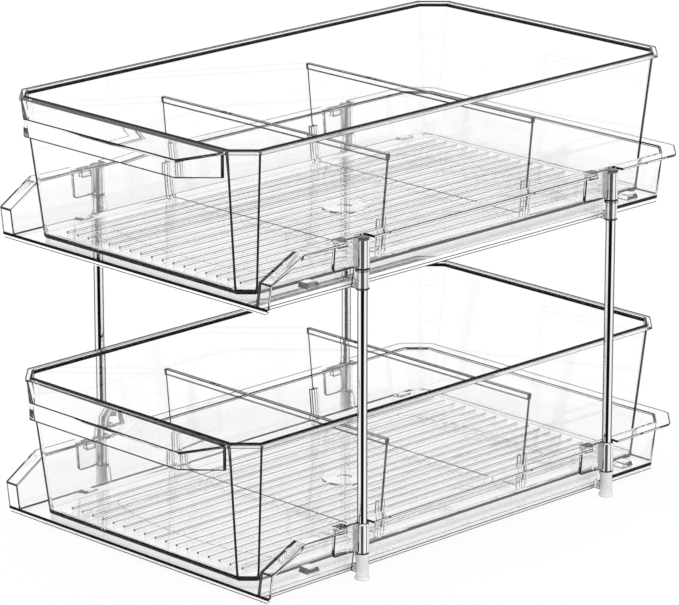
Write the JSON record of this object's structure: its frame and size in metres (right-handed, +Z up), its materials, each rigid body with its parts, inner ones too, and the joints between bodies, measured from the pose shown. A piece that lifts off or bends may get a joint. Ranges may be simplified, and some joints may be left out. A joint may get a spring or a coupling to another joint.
{
  "type": "two-tier cabinet organizer",
  "caption": "Clear two-tier organizer with pull-out bins on flanged trays, lift-out dividers and slim bright posts.",
  "frame": {"origin": "on the floor plane under the middle of the whole object", "axes": "+Z up, +Y from the pulls towards the back, +X to the right when facing the pulls"},
  "size_m": [0.2004, 0.321, 0.2258],
  "materials": {
    "tray_clear": "clear, glossy",
    "bin_clear": "clear, glossy",
    "divider_clear": "clear, glossy",
    "fitting_clear": "clear, glossy",
    "post_steel": "polished",
    "foot_frosted": "frosted"
  },
  "bodies": {
    "frame": {"lower_tray": "tray_clear", "upper_tray": "tray_clear", "front_left_post": "post_steel", "front_left_foot": "foot_frosted", "front_left_collar": "fitting_clear", "lower_front_left_bracket": "fitting_clear", "upper_front_left_bracket": "fitting_clear", "front_right_post": "post_steel", "front_right_foot": "foot_frosted", "front_right_collar": "fitting_clear", "lower_front_right_bracket": "fitting_clear", "upper_front_right_bracket": "fitting_clear", "back_left_post": "post_steel", "back_left_foot": "foot_frosted", "back_left_collar": "fitting_clear", "lower_back_left_bracket": "fitting_clear", "upper_back_left_bracket": "fitting_clear", "back_right_post": "post_steel", "back_right_foot": "foot_frosted", "back_right_collar": "fitting_clear", "lower_back_right_bracket": "fitting_clear", "upper_back_right_bracket": "fitting_clear"},
    "lower_bin": {"lower_bin": "bin_clear"},
    "upper_bin": {"upper_bin": "bin_clear"},
    "lower_front_divider": {"lower_front_divider": "divider_clear"},
    "lower_back_divider": {"lower_back_divider": "divider_clear"},
    "upper_front_divider": {"upper_front_divider": "divider_clear"},
    "upper_back_divider": {"upper_back_divider": "divider_clear"}
  },
  "joints": [
    {"name": "lower_bin_slide", "type": "slide", "parent": "frame", "child": "lower_bin", "axis": [0, -1, 0], "range_m": [0, 0.28]},
    {"name": "upper_bin_slide", "type": "slide", "parent": "frame", "child": "upper_bin", "axis": [0, -1, 0], "range_m": [0, 0.28]},
    {"name": "lower_front_divider_lift", "type": "slide", "parent": "lower_bin", "child": "lower_front_divider", "axis": [0, 0, 1], "range_m": [0, 0.072]},
    {"name": "lower_back_divider_lift", "type": "slide", "parent": "lower_bin", "child": "lower_back_divider", "axis": [0, 0, 1], "range_m": [0, 0.072]},
    {"name": "upper_front_divider_lift", "type": "slide", "parent": "upper_bin", "child": "upper_front_divider", "axis": [0, 0, 1], "range_m": [0, 0.072]},
    {"name": "upper_back_divider_lift", "type": "slide", "parent": "upper_bin", "child": "upper_back_divider", "axis": [0, 0, 1], "range_m": [0, 0.072]}
  ]
}
